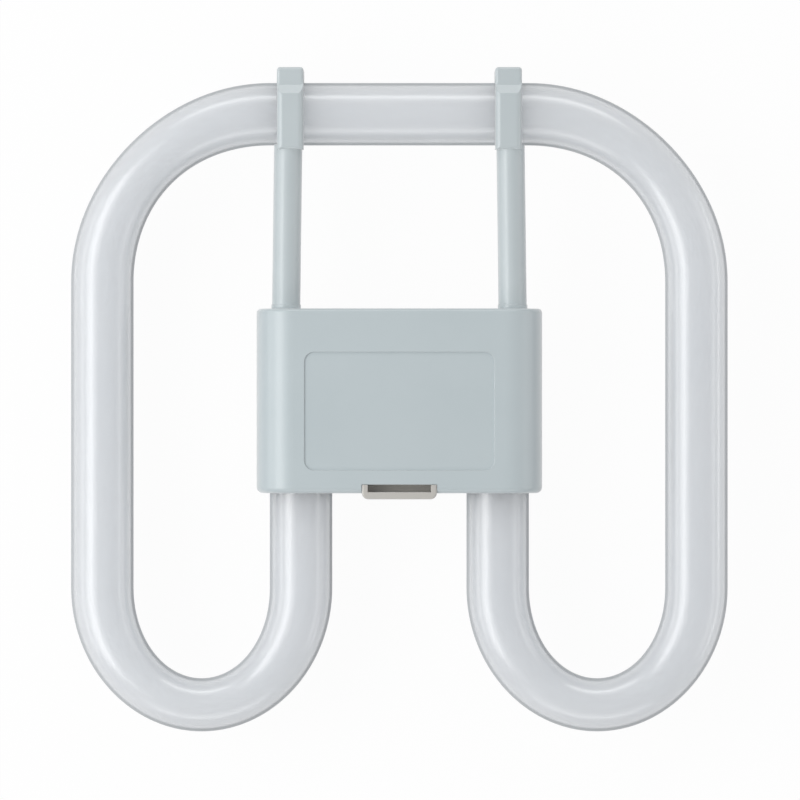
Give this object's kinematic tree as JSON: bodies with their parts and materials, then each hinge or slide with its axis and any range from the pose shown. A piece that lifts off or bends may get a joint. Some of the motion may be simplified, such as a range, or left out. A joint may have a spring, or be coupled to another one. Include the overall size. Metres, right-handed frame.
{
  "type": "square compact fluorescent lamp",
  "caption": "Flat square fluorescent lamp: a glass tube bent into a double D loop, held by a moulded plastic cap with support arms and recessed contact pins.",
  "frame": {"origin": "middle of the outline seen from the front, on the plane of the lampholder boss's rim that the lamp lies on", "axes": "+X to the right in the front view, +Y from the U bends towards the arms' hooks, +Z out of the cap's face"},
  "size_m": [0.205, 0.207, 0.0333],
  "materials": {
    "coated_glass": "glossy clear glass over a white coating",
    "cover_plastic": "satin, pale blue grey",
    "base_plastic": "satin, pale warm grey",
    "arm_plastic": "satin, pale blue grey",
    "pin_metal": "turned",
    "clear_glass": "clear",
    "capacitor_resin": "dipped resin",
    "ferrule_metal": "tinned",
    "lead_sheath": "white sheath",
    "cement": "dull"
  },
  "bodies": {
    "root": {"discharge_tube": "coated_glass", "front_cover": "cover_plastic", "rear_base": "base_plastic", "support_arm_left": "arm_plastic", "support_arm_right": "arm_plastic", "contact_pin_left": "pin_metal", "contact_pin_right": "pin_metal", "glow_starter": "clear_glass", "starter_capacitor": "capacitor_resin", "splice_ferrule_left": "ferrule_metal", "splice_ferrule_right": "ferrule_metal", "pin_lead_left": "lead_sheath", "pin_lead_right": "lead_sheath", "starter_lead_left": "lead_sheath", "starter_lead_right": "lead_sheath", "tube_cement_left": "cement", "tube_cement_right": "cement"}
  },
  "joints": []
}
